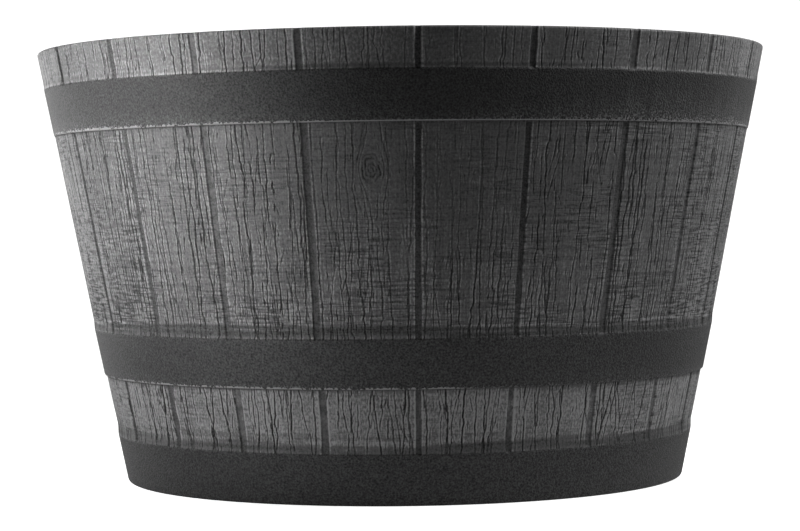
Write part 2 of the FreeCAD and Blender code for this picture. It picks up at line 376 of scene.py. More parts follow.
def outside_heights():
    """Heights of the outside's rows, foot to rim: close on staves, closer at hoop edges, wide on hoops."""
    parts = [FOOT_ROUND * (1 - np.cos(np.linspace(0, math.pi / 2, 7)))]
    low = 0.0
    for foot, top in HOOPS:
        start = FOOT_ROUND
        if foot > 0:
            stops = [low] + [stop for stop in KNOT_ROWS if low < stop < foot] + [foot - 0.05]
            for step, (start, stop) in enumerate(zip(stops[:-1], stops[1:])):
                pitch = KNOT_PITCH if step == 1 else ROW_PITCH
                parts.append(np.linspace(start, stop, int(np.ceil((stop - start) / pitch)) + 1)[1:])
            parts.append(foot + np.array(LIP_ROWS))
            start = foot + LIP_ROWS[-1]
        parts.append(np.linspace(start, top - 2.0, 8)[1:])
        parts.append(top + np.array(TOP_ROWS))
        parts.append(top + TOP_ROWS[-1] + np.linspace(0, BAND, 17)[1:])
        low = top + TOP_ROWS[-1] + BAND
    count = int(np.ceil((TALL - RIM_ROUND - low) / ROW_PITCH))
    parts.append(np.linspace(low, TALL - RIM_ROUND, count + 1)[1:])
    parts.append(TALL - RIM_ROUND * (1 - np.sin(np.linspace(0, math.pi / 2, 6)[1:])))
    return np.concatenate(parts)


def hoop_share(height):
    """1 on a hoop's face, easing to 0 over the flare above it, and 0 on a stave."""
    share = np.zeros_like(height)
    for foot, top in HOOPS:
        on_hoop = (height >= foot) & (height <= top + FLARE)
        share = np.where(on_hoop, np.maximum(share, 1 - ease((height - top) / FLARE)), share)
    return share


def outside_radius(height):
    """Radius of the outside before the grain: the cone plus the step of each panel and hoop, less the
    rounding of lips, foot and rim."""
    radius = face(height) + np.interp(height, STEP_HEIGHTS, STEP_OUT)
    for foot, _ in HOOPS[1:]:
        over = height - foot
        lip = LIP_BACK * np.clip(1 - over / LIP_ROUND, 0, 1) ** 2
        radius = radius - np.where((over >= 0) & (over < LIP_ROUND), lip, 0)
    for size, past in ((FOOT_ROUND, FOOT_ROUND - height), (RIM_ROUND, height - (TALL - RIM_ROUND))):
        past = np.clip(past, 0, size)
        radius = radius - (size - np.sqrt(size ** 2 - past ** 2))
    return radius


def grain_depth_share(height):
    """How much of the grain's depth shows: all of it on staves, none on hoops, fading in above each hoop."""
    share = np.ones_like(height)
    for foot, top in HOOPS:
        over = (height >= foot) & (height < top + FLARE)
        share = np.where(over, ease((height - top + 1.2) / 1.3), share)
    return share


def saw_share(height):
    """How strongly saw marks show: faint at the rim, stronger towards the foot of both panels below it."""
    return np.interp(height, SAW_HEIGHTS, SAW_SHARE) * (1 - hoop_share(height))


def streaks(dice, height, columns):
    """Long level streaks, about -1 to 1: sums of a fine random line up the wall times a slow one round."""
    round_wall = np.arange(columns, dtype=float)
    return sum(drift(dice, height, 1.9)[:, None] * drift(dice, round_wall, 130) for _ in range(5))


def stave_tone_and_painted_light(up, turn):
    """How light the staves' brushing is: lightest on the low panel, with painted shade that dims the long
    one high up in front, and a painted highlight that lightens the rim a little left of the front."""
    tone = np.interp(up, TONE_HEIGHTS, TONE_LIGHT)
    # Painted shade: the long panel is dimmer high up in front
    front = 1 - to_side(turn)
    tone = tone * (1 - 0.13 * front * ease((up - 140) / 60) * ease((258 - up) / 15))
    # Painted highlight: the rim is lighter a little left of the front
    beside = from_front(turn + 0.22)
    return tone * (1 + 0.25 * np.exp(-(beside / 0.25) ** 2) * ease((up - 281) / 4))


def band_light(number, over, streak, ragged, turn):
    """How much brushing is left above a hoop, over being the height above its top edge: a dim streaky band
    above the two lower hoops, with painted shade that makes it darker still at the waist's far right, and a
    thin line above the top hoop."""
    if number == 2:
        side = to_side(turn)
        dim = side * np.interp(over, *TOP_BAND_SIDE) + (1 - side) * np.interp(over, *TOP_BAND_FRONT)
        stir = 0.5 * streak * np.exp(-over / 3) + 0.5 * ragged * np.exp(-over / 2)
        return dim * np.clip(1 + stir, 0.4, 1.6)
    stir = streak * (0.45 + 0.55 * number)
    uneven = over + 2.2 * stir * ease(over / 4)
    dim = np.interp(uneven / (1.0 + 0.2 * number), *LOW_BAND)
    fade = dim * np.clip(0.86 + 0.14 * number + stir * ease((BAND - over) / 9), 0.2, 1.9)
    # Painted shade: the band above the waist hoop is darker at the far right
    return fade * (1 - 0.34 * number * towards_right(turn, *FAR_RIGHT) * ease((8 - over) / 4))


def lip_light(number, over, ragged, turn):
    """Brushing on a hoop's own face, over being the height above its lower lip: a beaded bright line along
    the lip, with painted highlight and shade by side that keep it faint at the waist's right and brighter on
    the top hoop's left, and specks thinning out above it, highest at the top's right."""
    at_waist = number == 1
    right = towards_right(turn, *RIGHT)
    far_right = towards_right(turn, *FAR_RIGHT)
    left = towards_right(-turn, *LEFT)
    left_front = towards_right(-turn, *LEFT_FRONT)
    broken = np.maximum(to_side(turn), 0.8 if at_waist else 0.9 * left_front)
    bead = np.clip(0.75 + (0.35 + 1.1 * broken) * ragged[RAGGED_LIP + number], 0.1, 1.7)
    gaps = 0.5 if at_waist else 0.15
    bright = 2.3 * ease((bead - gaps * broken) / 0.6)
    reach = 2.0 + 1.3 * ragged[RAGGED_SPECKS]
    strong = 0.45
    if at_waist:
        # Painted shade: the waist's lip line fades out towards the right
        bright = bright * (1 - 0.9 * right)
    else:
        # Painted highlight: the top hoop's beads are brighter on the left and front left
        bead = bead * (1 + 0.3 * left + 0.15 * left_front)
        reach = reach * (1 + 0.8 * right + 1.8 * far_right + 0.5 * left)
        strong = strong + 0.1 * right + 0.03 * far_right + 0.2 * left
    lip = bright * np.clip((0.6 * bead + 0.1 - over) / 0.4 + 0.5, 0, 1)
    return np.maximum(lip, strong * np.exp(-np.maximum(over, 0) / reach))


def brushing(height, ragged, streak, turn):
    """Lightness of the brushed finish over the whole outside, by row and column: the staves' tone with its
    painted light and shade, dimmed in a band above each hoop, a painted shadow line below each lip, on hoops
    only lips and specks, a light edge along each hoop's top, and painted shade that makes the hoops darker
    at some sides."""
    up = height[:, None]
    light = stave_tone_and_painted_light(up, turn)
    for number, (foot, top) in enumerate(HOOPS):
        over = up - top + 0.4 * ragged[number]
        fade = band_light(number, over, streak, ragged[RAGGED_BAND], turn)
        light = np.where((up >= foot) & (up < top + BAND), light * fade, light)
        if foot > 0:
            lip = lip_light(number, up - foot, ragged, turn)
            light = np.where((up >= foot) & (up < top), lip, light)
            # Painted shadow: a dark line on the stave just under each hoop's lower lip
            under = ease((foot - up) / 2.6 + 0.12)
            light = np.where((up < foot) & (up > foot - 4), light * under, light)
    for (_, top), strong in zip(HOOPS, EDGE_LIGHT):
        edge = np.exp(-((up - top - 0.3) / 0.5) ** 2) * np.clip(0.65 + 0.9 * ragged[RAGGED_EDGE], 0.1, 1.3)
        light = np.maximum(light, strong * edge)
    # Painted shade on the hoops by side: the foot hoop darker on the left, the waist hoop at both sides and
    # the top hoop on the right; the top hoop is darker all round as well
    foot_hoop_painted_shade = 0.05 * towards_right(-turn, *LEFT)
    waist_hoop_painted_shade = 0.09 * to_side(turn)
    top_hoop_tone_and_painted_shade = 0.09 + 0.06 * towards_right(turn, *RIGHT) + 0.05 * towards_right(turn, *FAR_RIGHT)
    for (foot, top), darker in zip(HOOPS, (foot_hoop_painted_shade, waist_hoop_painted_shade, top_hoop_tone_and_painted_shade)):
        on_hoop = (up >= foot) & (up < top - 0.6)
        light = np.where(on_hoop, light - darker * ease(1 - light / 0.25), light)
    return light


def inner_section():
    """Rows of the section from the rim's top inwards and down: rim, inner wall, floor, recess and foot, as
    radius and height."""
    inside = face(TALL) - WALL
    rows = [
        (face(TALL) - 4.4, TALL),
        (inside + 1.2, TALL),
        (inside + 0.5, TALL - 0.2),
        (inside + 0.1, TALL - 0.7),
        (inside - 0.15, TALL - 1.4),
    ]
    for height in np.linspace(TALL - 6, FLOOR_TOP + FLOOR_BEVEL + 3, 14):
        rows.append((face(height) - WALL, height))
    foot = face(FLOOR_TOP) - WALL
    for turn in np.linspace(0, math.pi / 2, 7):
        back = FLOOR_BEVEL * (1 - math.sin(turn))
        rise = FLOOR_BEVEL * (1 - math.cos(turn))
        height = FLOOR_TOP + FLOOR_BEVEL - FLOOR_BEVEL * math.sin(turn)
        rows.append((foot + FACE_SLOPE * back - rise, height))
    rows += [
        (FLOOR_DISC + 0.6, FLOOR_TOP),
        (FLOOR_DISC, FLOOR_TOP),
        (FLOOR_DISC, FLOOR_UNDER),
        (RECESS_RADIUS - 0.8, FLOOR_UNDER),
        (RECESS_RADIUS - 0.2, FLOOR_UNDER - 0.2),
        (RECESS_RADIUS, FLOOR_UNDER - 0.8),
        (RECESS_RADIUS, 0.8),
        (RECESS_RADIUS + 0.2, 0.2),
        (RECESS_RADIUS + 0.8, 0.0),
        (RECESS_RADIUS + 6.0, 0.0),
    ]
    return rows


# Laying meshes

def on_circle(radius, angle):
    """Points on a circle: the radius times the cosine and the sine of each angle."""
    return radius * np.stack([np.cos(angle), np.sin(angle)], axis=-1)


def grid_corners(rows, columns):
    """Row and column of every quad's four corners on a grid, anticlockwise seen from outside when rows go up
    and columns go round towards larger turns."""
    row, column = np.meshgrid(np.arange(rows - 1), np.arange(columns - 1), indexing="ij")
    row = row.reshape(-1, 1) + np.array([0, 0, 1, 1])
    column = column.reshape(-1, 1) + np.array([0, 1, 1, 0])
    return row, column


def lay_mesh(name, places, faces, material, maps=None, finish=None, sharp=None):
    """A mesh object from points in millimetres and faces as a list of arrays, one for each corner count.
    maps gives two numbers for each face corner, finish three for each point, and sharp is true at points
    whose shared edges are sharp."""
    mesh = bpy.data.meshes.new(name)
    mesh.materials.append(material)
    corners = np.concatenate([np.asarray(f).reshape(-1) for f in faces]).astype(np.int32)
    counts = np.concatenate([np.full(len(f), np.shape(f)[1]) for f in faces])
    starts = np.concatenate([[0], np.cumsum(counts)[:-1]]).astype(np.int32)
    mesh.vertices.add(len(places))
    mesh.vertices.foreach_set("co", (np.asarray(places, np.float32) * MM).reshape(-1))
    mesh.loops.add(len(corners))
    mesh.loops.foreach_set("vertex_index", corners)
    mesh.polygons.add(len(starts))
    mesh.polygons.foreach_set("loop_start", starts)
    mesh.polygons.foreach_set("use_smooth", np.ones(len(starts), bool))
    mesh.update(calc_edges=True)
    for label, values in (maps or {}).items():
        layer = mesh.uv_layers.new(name=label)
        layer.uv.foreach_set("vector", np.asarray(values, np.float32).reshape(-1))
    if finish is not None:
        layer = mesh.attributes.new("finish", "FLOAT_VECTOR", "POINT")
        layer.data.foreach_set("vector", np.asarray(finish, np.float32).reshape(-1))
    if sharp is not None:
        ends = np.zeros(len(mesh.edges) * 2, np.int32)
        mesh.edges.foreach_get("vertices", ends)
        both = np.asarray(sharp).reshape(-1)[ends.reshape(-1, 2)].all(axis=1)
        layer = mesh.attributes.new("sharp_edge", "BOOLEAN", "EDGE")
        layer.data.foreach_set("value", both)
    piece = bpy.data.objects.new(name, mesh)
    bpy.context.scene.collection.objects.link(piece)
    return piece


# Materials

RESIN_DARK = (0.013, 0.013, 0.0132, 1)
RESIN_LIGHT = (0.071, 0.071, 0.0715, 1)
# Near black: painted shade deep in the cracks
CRACK_PAINTED_SHADE = (0.006, 0.006, 0.0061, 1)
BRUSHED_GREY = (0.118, 0.118, 0.119, 1)
EDGE_GREY = (0.27, 0.27, 0.272, 1)
RUBBER_BLACK = (0.012, 0.012, 0.012, 1)
RUBBER_DUST = (0.035, 0.034, 0.033, 1)
# How fine each cloud is, per metre: on the staves across and along them, and in the solid
FIBRE_PITCH = (820, 16, 1)
SAW_PITCH = (66, 680, 1)
WIDE_SAW_PITCH = (10, 330, 1)
PATCH_PITCH = (19, 26, 1)
PIT_PITCH = (760, 420, 1)
PEBBLE_PITCH = 820.0
BLOTCH_PITCH = 26.0
SKIN_PITCH = 1500.0
DUST_PITCH = 160.0


def add_node(tree, kind, **values):
    """A shader node. Labels with set_ are its settings, those with in_ its inputs by number, and others its
    inputs by name: a value is set, an output socket is linked."""
    made = tree.nodes.new(kind)
    for label, value in values.items():
        if label.startswith("set_"):
            setattr(made, label[4:], value)
            continue
        key = int(label[3:]) if label.startswith("in_") else label.replace("_", " ")
        socket = made.inputs[key]
        if isinstance(value, bpy.types.NodeSocket):
            tree.links.new(value, socket)
        else:
            socket.default_value = value
    return made


def sums(operation, first, second=0.0, third=0.0, hold=False):
    """One step of arithmetic in the first value's shader."""
    made = add_node(first.id_data, "ShaderNodeMath", set_operation=operation, set_use_clamp=hold,
                    in_0=first, in_1=second, in_2=third)
    return made.outputs[0]


def times(first, second):
    """The product of two values in a shader."""
    return sums("MULTIPLY", first, second)


def spread_between(value, low, high, onto_low=0.0, onto_high=1.0):
    """A value carried from one range onto another in a straight line, and held there."""
    made = add_node(value.id_data, "ShaderNodeMapRange", set_clamp=True, in_0=value, in_1=low, in_2=high,
                    in_3=onto_low, in_4=onto_high)
    return made.outputs[0]


def cloud(place, scale, stretch=(1, 1, 1), detail=2.0):
    """Noise from 0 to 1 at a place, with its own stretch along each axis."""
    tree = place.id_data
    mapped = add_node(tree, "ShaderNodeMapping", Vector=place, Scale=stretch)
    made = add_node(tree, "ShaderNodeTexNoise", Vector=mapped.outputs[0], Scale=scale, Detail=detail)
    return made.outputs[0]


def blend_colour(share, first, second):
    """A colour part way from the first to the second."""
    made = add_node(share.id_data, "ShaderNodeMix", set_data_type="RGBA",
                    in_0=share, in_6=first, in_7=second)
    return made.outputs[2]


def new_material(name):
    """A new material and its tree of shader nodes."""
    made = bpy.data.materials.new(name)
    made.use_nodes = True
    return made, made.node_tree


def paint_with(tree, colour, rough, shine, bumps, strength, distance):
    """A material's colour, roughness and shine, and its bumps with their strength and height in metres."""
    shader = tree.nodes["Principled BSDF"]
    tree.links.new(colour, shader.inputs["Base Color"])
    tree.links.new(rough, shader.inputs["Roughness"])
    shader.inputs["Specular IOR Level"].default_value = shine
    bump = add_node(tree, "ShaderNodeBump", Strength=strength, Distance=distance, Height=bumps)
    tree.links.new(bump.outputs[0], shader.inputs["Normal"])


def charcoal_resin():
    """Charcoal resin, dry-brushed in grey on the raised staves. The piece's finish gives how light the
    brushing is, with painted light and shade laid into it, where saw marks lie and where the hoops'
    pebbling lies. Fine fibres run upright along the staves, saw marks lie across them in patches, and
    pebbling covers the rest."""
    made, tree = new_material("charcoal_resin")
    finish = add_node(tree, "ShaderNodeAttribute", set_attribute_name="finish")
    parts = add_node(tree, "ShaderNodeSeparateXYZ", Vector=finish.outputs["Vector"])
    brushed, sawn, pebbled = parts.outputs
    along = add_node(tree, "ShaderNodeUVMap", set_uv_map="grain").outputs[0]
    solid = add_node(tree, "ShaderNodeTexCoord").outputs["Object"]
    fibre = cloud(along, 1.0, FIBRE_PITCH, detail=2.5)
    lines = cloud(along, 1.0, SAW_PITCH, detail=1.5)
    wide_lines = cloud(along, 1.0, WIDE_SAW_PITCH)
    patch = cloud(along, 1.0, PATCH_PITCH, detail=1.0)
    pits = cloud(along, 1.0, PIT_PITCH)
    pebble = cloud(solid, PEBBLE_PITCH)
    blotch = cloud(solid, BLOTCH_PITCH, detail=3.0)

    # How worn the brushing is
    saw_patch = spread_between(patch, 0.36, 0.6, 0.12, 1.0)
    saw = times(times(spread_between(lines, 0.51, 0.58), saw_patch), sawn)
    between_saws = spread_between(lines, 0.36, 0.44, 0.2, 0.0)
    bands = times(spread_between(wide_lines, 0.5, 0.68), sawn)
    fibred = sums("MULTIPLY_ADD", sawn, 0.75, 0.25, hold=True)
    worn = sums("MULTIPLY_ADD", spread_between(fibre, 0.3, 0.7, -0.38, 0.26), fibred, 1.0)
    worn = sums("SUBTRACT", worn, times(saw, 0.46))
    worn = sums("ADD", worn, times(between_saws, times(saw_patch, sawn)))
    worn = sums("SUBTRACT", worn, times(bands, 0.2))
    worn = sums("SUBTRACT", worn, spread_between(pits, 0.36, 0.66, -0.22, 0.34))
    worn = times(worn, spread_between(pebble, 0.3, 0.7, 0.8, 1.15))
    worn = times(worn, spread_between(blotch, 0.3, 0.7, 0.85, 1.12))

    # How light it is on staves and on hoops, with the painted light and shade that the finish carries
    on_staves = times(brushed, worn)
    specks = spread_between(sums("MULTIPLY_ADD", brushed, 0.4, pebble), 0.66, 0.76)
    on_hoops = times(specks, spread_between(brushed, 0.02, 0.6, 0.0, 1.7))
    light = add_node(tree, "ShaderNodeMix", in_0=pebbled, in_2=on_staves, in_3=on_hoops).outputs[0]

    # Colour from the bare resin up, and bumps
    bare = blend_colour(spread_between(pebble, 0.32, 0.68), RESIN_DARK, RESIN_LIGHT)
    # Painted shade: deep in cracks the bare resin is darkened on towards near black
    deep = spread_between(brushed, -0.4, 0.0, 1.0, 0.0)
    bare = blend_colour(deep, bare, CRACK_PAINTED_SHADE)
    colour = blend_colour(sums("MULTIPLY", light, 1.0, hold=True), bare, BRUSHED_GREY)
    colour = blend_colour(spread_between(light, 1.0, 1.9), colour, EDGE_GREY)
    rough = spread_between(light, 0.0, 1.0, 0.66, 0.56)
    bumps = times(fibre, times(sawn, 0.5))
    bumps = sums("SUBTRACT", bumps, times(saw, 0.6))
    bumps = sums("ADD", bumps, times(pebble, times(pebbled, 3.8)))
    paint_with(tree, colour, rough, 0.25, bumps, 0.55, 0.0004)
    return made


def plug_rubber():
    """Black rubber: nearly black, dusted a little lighter in soft patches, with a fine matt moulded skin."""
    made, tree = new_material("plug_rubber")
    solid = add_node(tree, "ShaderNodeTexCoord").outputs["Object"]
    skin = cloud(solid, SKIN_PITCH)
    dust = cloud(solid, DUST_PITCH, detail=3.0)
    colour = blend_colour(spread_between(dust, 0.42, 0.75), RUBBER_BLACK, RUBBER_DUST)
    rough = spread_between(dust, 0.3, 0.7, 0.5, 0.68)
    paint_with(tree, colour, rough, 0.35, skin, 0.3, 0.0002)
    return made


RESIN = charcoal_resin()
RUBBER = plug_rubber()


# The tub's sides

def ragged_lines():
    """Ragged lines round the tub, each with one value from about -1 to 1 for each grid column."""
    dice = np.random.default_rng(RAGGED_SEED)
    column = np.arange(STAVES * COLUMNS + 1, dtype=float)
    return np.array([wander(dice, column, ROUND_RAGGED) for _ in range(RAGGED_LINES)])


def bake_rows(base, height, row_count):
    """How far up the baking map each row lies: outside by length along the section, inside evenly."""
    length = np.cumsum(np.hypot(np.diff(base, prepend=base[0]), np.diff(height, prepend=height[0])))
    outside = MAP_MARGIN + MAP_OUTSIDE * length / length[-1]
    inside_count = row_count - len(height)
    inside = MAP_INSIDE_FROM + MAP_INSIDE * np.arange(inside_count + 1) / inside_count
    return np.concatenate([outside, inside])


def side_maps(first, row, column, row_height, row_radius, down):
    """The maps of one side, for every corner of its quads and then of its two cut ends: the baking map, and
    the grain's in metres across and up its staves, each stave's apart from the next."""
    row_count = len(row_height)
    bake = np.stack([MAP_MARGIN + (1 - 2 * MAP_MARGIN) * column / column.max(), down[row]], axis=-1)
    stave = np.minimum(column // COLUMNS, STAVES_PER_SIDE - 1)
    arc = (column - stave * COLUMNS) * GRAIN_WIDE / COLUMNS + GRAIN_STEP * (first + stave)
    grain = np.stack([arc, row_height[row % row_count] * MM], axis=-1)
    end = np.stack([
        END_FROM[0] + END_SIZE[0] * row_height / TALL,
        END_FROM[1] + END_SIZE[1] * (row_radius - END_RADIUS) / 100,
    ], axis=-1)
    end_grain = np.stack([np.zeros(row_count), row_height * MM], axis=-1)
    return {
        "OFBake": np.concatenate([bake.reshape(-1, 2), end, end[::-1] + (END_APART, 0)]),
        "grain": np.concatenate([grain.reshape(-1, 2), end_grain, end_grain]),
    }


def side_finish(height, shown, turn, row_count):
    """The finish of one side's points: how light the brushing is, with its painted light and shade, how
    strongly saw marks show, and how much pebbling there is. The inside has pebbling alone."""
    finish = np.zeros((row_count, len(turn), 3))
    finish[:, :, 2] = INSIDE_PEBBLING
    outside = finish[:len(height)]
    sawn_right = 0.7 * towards_right(turn, *SAWN_RIGHT) * ease((height[:, None] - 130) / 60)
    outside[:, :, 0] = shown
    outside[:, :, 1] = saw_share(height)[:, None] * (1 + 0.4 * on_flank(turn) + sawn_right)
    outside[:, :, 2] = 1 - grain_depth_share(height)[:, None]
    return finish


def tub_sides():
    """The wall, foot and rim as closed pieces of two staves each, which meet along seams. Each point lies on
    the section's row at its column's turn, set in by the grain's depth there."""
    height = outside_heights()
    base = outside_radius(height)
    depth_share = grain_depth_share(height)
    on_hoop = hoop_share(height)[:, None] > 0.999
    inner_radius, inner_height = zip(*inner_section())
    row_radius = np.concatenate([base, inner_radius])
    row_height = np.concatenate([height, inner_height])
    row_sharp = row_radius == FLOOR_DISC
    row_count = len(row_height)
    down = bake_rows(base, height, row_count)
    ragged = ragged_lines()
    streak = streaks(np.random.default_rng(STREAK_SEED), height, STAVES * COLUMNS + 1)
    made = []
    for number in range(STAVES // STAVES_PER_SIDE):
        first = number * STAVES_PER_SIDE
        below, light = zip(*[stave_relief(first + n, height) for n in range(STAVES_PER_SIDE)])
        below = np.concatenate([below[0], below[1][:, 1:]], axis=1)
        light = np.concatenate([light[0], light[1][:, 1:]], axis=1)
        columns = below.shape[1]
        whole = np.arange(columns) + first * COLUMNS
        turn = SEAM_TURN + whole * STAVE_TURN / COLUMNS
        turn = turn + seam_shift(turn)
        # The brushing's lightness, with its painted light and shade
        brush_and_painted_light = brushing(height, ragged[:, None, whole], streak[:, whole], turn)
        shown = brush_and_painted_light * np.where(on_hoop, 1, light)
        radius = np.repeat(row_radius[:, None], columns, axis=1)
        radius[:len(height)] -= depth_share[:, None] * below
        places = np.stack([
            radius * np.sin(turn),
            -radius * np.cos(turn),
            np.repeat(row_height[:, None], columns, axis=1),
        ], axis=-1).reshape(-1, 3)
        row, column = grid_corners(row_count + 1, columns)
        quads = (row % row_count) * columns + column
        first_edge = np.arange(row_count) * columns
        ends = [first_edge[None, :], (first_edge + columns - 1)[None, ::-1]]
        on_edge = np.arange(columns) % (columns - 1) == 0
        made.append(lay_mesh(
            f"tub_side_{number + 1:02d}",
            places,
            [quads] + ends,
            RESIN,
            maps=side_maps(first, row, column, row_height, row_radius, down),
            finish=side_finish(height, shown, turn, row_count),
            sharp=row_sharp[:, None] | on_edge,
        ))
    return made


# The tub's floor

QUARTER_STEPS = 36
SIDE_STEPS = 21


def floor_cell(hole, border):
    """One patch of the floor round its drain: rows run from the border over the underside to the drain, up
    through it and back over the top, and each column runs from a border point towards the drain's middle."""
    away = border - hole
    outward = away / np.linalg.norm(away, axis=1)[:, None]
    edge = hole + outward * DRAIN_RADIUS
    share = np.linspace(1, 0, 10) ** 1.2
    under = [(s, 0.0, FLOOR_UNDER) for s in share]
    wall = [(0.0, 0.0, FLOOR_UNDER + 3.0), (0.0, 0.0, FLOOR_TOP - 0.5), (0.0, 0.25, FLOOR_TOP - 0.12)]
    top = [(s, 0.5 * (1 - s), FLOOR_TOP) for s in share[::-1]]
    rows = []
    for part, back, height in under + wall + top:
        flat = edge + (border - edge) * part + outward * back
        rows.append(np.column_stack([flat, np.full(len(flat), height)]))
    return np.array(rows)


def tub_floor():
    """The floor disc: a round patch about the middle drain, four quarter patches about the ring's drains,
    and the outer edge, joined where they share points."""
    quarter = np.linspace(-math.pi / 4, math.pi / 4, QUARTER_STEPS + 1)
    whole = np.linspace(-math.pi / 4, 2 * math.pi - math.pi / 4, 4 * QUARTER_STEPS + 1)
    side = np.linspace(FLOOR_DISC, FLOOR_SPLIT, SIDE_STEPS + 1)[1:-1, None]
    grids = [floor_cell(np.zeros(2), on_circle(FLOOR_SPLIT, whole))]
    for angle in np.arange(4) * math.pi / 2:
        arc = on_circle(1, quarter + angle)
        outer = FLOOR_DISC * arc
        inner = FLOOR_SPLIT * arc[::-1]
        border = np.concatenate([outer, side * arc[-1], inner, side[::-1] * arc[0], outer[:1]])
        grids.append(floor_cell(on_circle(DRAIN_RING, angle), border))
    around = on_circle(FLOOR_DISC, whole)
    outer_edge = [np.column_stack([around, np.full(len(around), h)]) for h in (FLOOR_UNDER, FLOOR_TOP)]
    grids.append(np.array(outer_edge))
    places = []
    quads = []
    marks = []
    total = 0
    for number, grid in enumerate(grids):
        is_edge = number == len(grids) - 1
        rows, columns = grid.shape[:2]
        row, column = grid_corners(rows, columns)
        corners = row * columns + column + total
        quads.append(corners if is_edge else corners[:, ::-1])
        places.append(grid.reshape(-1, 3))
        marks.append(np.full(rows * columns, is_edge))
        total += rows * columns
    points, same = np.unique(np.round(np.concatenate(places), 3), axis=0, return_inverse=True)
    same = same.reshape(-1)
    sharp = np.zeros(len(points), bool)
    sharp[same] = np.concatenate(marks)
    finish = np.zeros((len(points), 3))
    finish[:, 2] = FLOOR_PEBBLING
    return lay_mesh("tub_floor", points, [same[np.concatenate(quads)]], RESIN, finish=finish, sharp=sharp)


# Drain plugs

PLUG_TURNS = {"middle": None, "right": 0.0, "back": 90.0, "left": 180.0, "front": 270.0}
PLUG_ROUND = 72
# Half section of a plug's stem and flange, from the middle below to the middle above: radius and height
PLUG_SECTION = (
    (0.0, 5.0), (3.2, 5.0), (5.6, 5.0), (6.1, 5.15), (6.7, 5.7), (7.1, 6.2), (7.2, 6.5), (7.45, 9.5),
    (7.66, 12.5), (7.7, 13.6), (7.85, 13.92), (8.3, 14.0), (12.6, 14.0), (13.15, 14.1), (13.42, 14.4),
    (13.5, 14.8), (13.5, 15.7), (13.4, 16.15), (13.1, 16.48), (12.6, 16.6), (11.7, 16.6), (11.3, 16.5),
    (11.0, 16.2), (10.6, 16.1), (10.2, 16.2), (9.9, 16.5), (9.5, 16.6), (5.0, 16.6), (0.0, 16.6),
)
TAB_HALF_WIDE = 6.5
TAB_LOW = 15.4
TAB_HIGH = 28.6
TAB_ROUND = 4.5
TAB_MIDDLE_OUT = 1.45
# Half of the tab's thickness from its face to its edge: share of the outline, and how far out it lies
TAB_STEPS = ((0.55, 1.46), (0.8, 1.56), (0.9, 1.7), (0.95, 1.66), (0.985, 1.5), (1.0, 1.15))


def ring_surface(rings, ends):
    """A closed surface: its points, quads from each ring of points to the next, and a fan from each end's
    point to the ring beside it. Rings run anticlockwise seen from the last one's end."""
    rows, count = rings.shape[:2]
    row, column = grid_corners(rows, count + 1)
    quads = row * count + column % count
    here = np.arange(count)
    after = (here + 1) % count
    last = (rows - 1) * count
    middle = np.full(count, rows * count)
    first_fan = np.column_stack([middle, after, here])
    last_fan = np.column_stack([middle + 1, last + here, last + after])
    return np.concatenate([rings.reshape(-1, 3), ends]), quads, np.concatenate([first_fan, last_fan])


def turned_body():
    """The plug's stem and flange: the half section carried round its axis, with both ends on the axis."""
    angle = np.linspace(0, 2 * math.pi, PLUG_ROUND + 1)[:-1]
    circle = on_circle(1, angle)
    rings = [np.column_stack([radius * circle, np.full(PLUG_ROUND, height)])
             for radius, height in PLUG_SECTION[1:-1]]
    ends = [(0, 0, PLUG_SECTION[0][1]), (0, 0, PLUG_SECTION[-1][1])]
    return ring_surface(np.array(rings), ends)


def pull_tab():
    """The plug's pull tab: a rounded upright outline carried through the tab's thickness, drawn in a little
    at both faces so that its edges are round, and closed at the middle of each face."""
    corner = np.array([TAB_HALF_WIDE - TAB_ROUND, TAB_HIGH - TAB_ROUND])
    right = corner + on_circle(TAB_ROUND, np.linspace(0, math.pi / 2, 13))
    left = right[::-1] * (-1, 1)
    foot = np.column_stack([np.linspace(-TAB_HALF_WIDE, TAB_HALF_WIDE, 9), np.full(9, TAB_LOW)])
    rise = np.linspace(TAB_LOW, corner[1], 7)[1:-1]
    sides = np.column_stack([np.full(len(rise), TAB_HALF_WIDE), rise])
    outline = np.concatenate([foot, sides, right, left, (sides * (-1, 1))[::-1]])
    middle = np.array([0.0, (TAB_LOW + TAB_HIGH) / 2])
    rings = []
    for share, out in TAB_STEPS + tuple((share, -out) for share, out in TAB_STEPS[::-1]):
        flat = middle + (outline - middle) * share
        rings.append(np.column_stack([flat[:, 0], np.full(len(flat), out), flat[:, 1]]))
    ends = [(0, TAB_MIDDLE_OUT, middle[1]), (0, -TAB_MIDDLE_OUT, middle[1])]
    return ring_surface(np.array(rings), ends)


def drain_plug(label, turn):
    """One drain plug: turned body and pull tab, turned and moved to its drain."""
    body, body_quads, body_fans = turned_body()
    tab, tab_quads, tab_fans = pull_tab()
    places = np.concatenate([body, tab])
    more = len(body)
    if turn is not None:
        angle = math.radians(turn)
        turned = np.array([on_circle(1, angle), on_circle(1, angle + math.pi / 2)])
        places[:, :2] = places[:, :2] @ turned + on_circle(DRAIN_RING, angle)
    quads = np.concatenate([body_quads, tab_quads + more])
    fans = np.concatenate([body_fans, tab_fans + more])
    return lay_mesh(f"plug_{label}", places, [quads, fans], RUBBER)


for side in tub_sides() + [tub_floor()]:
    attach(side, "tub")
    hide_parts("tub")

for label, turn in PLUG_TURNS.items():
    plug = drain_plug(label, turn)
    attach(plug, f"drain_plug_{label}")
    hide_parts(f"drain_plug_{label}")


# Studio

STUDIO_RINGS = (0.001, 60, 140, 190, 230, 270, 330, 420, 560, 720, 900, 1100)
STUDIO_ROUND = 96
STUDIO_BELOW = 0.2
STUDIO_PAINT = (0.8, 0.8, 0.8, 1)
WHITE = (1, 1, 1, 1)
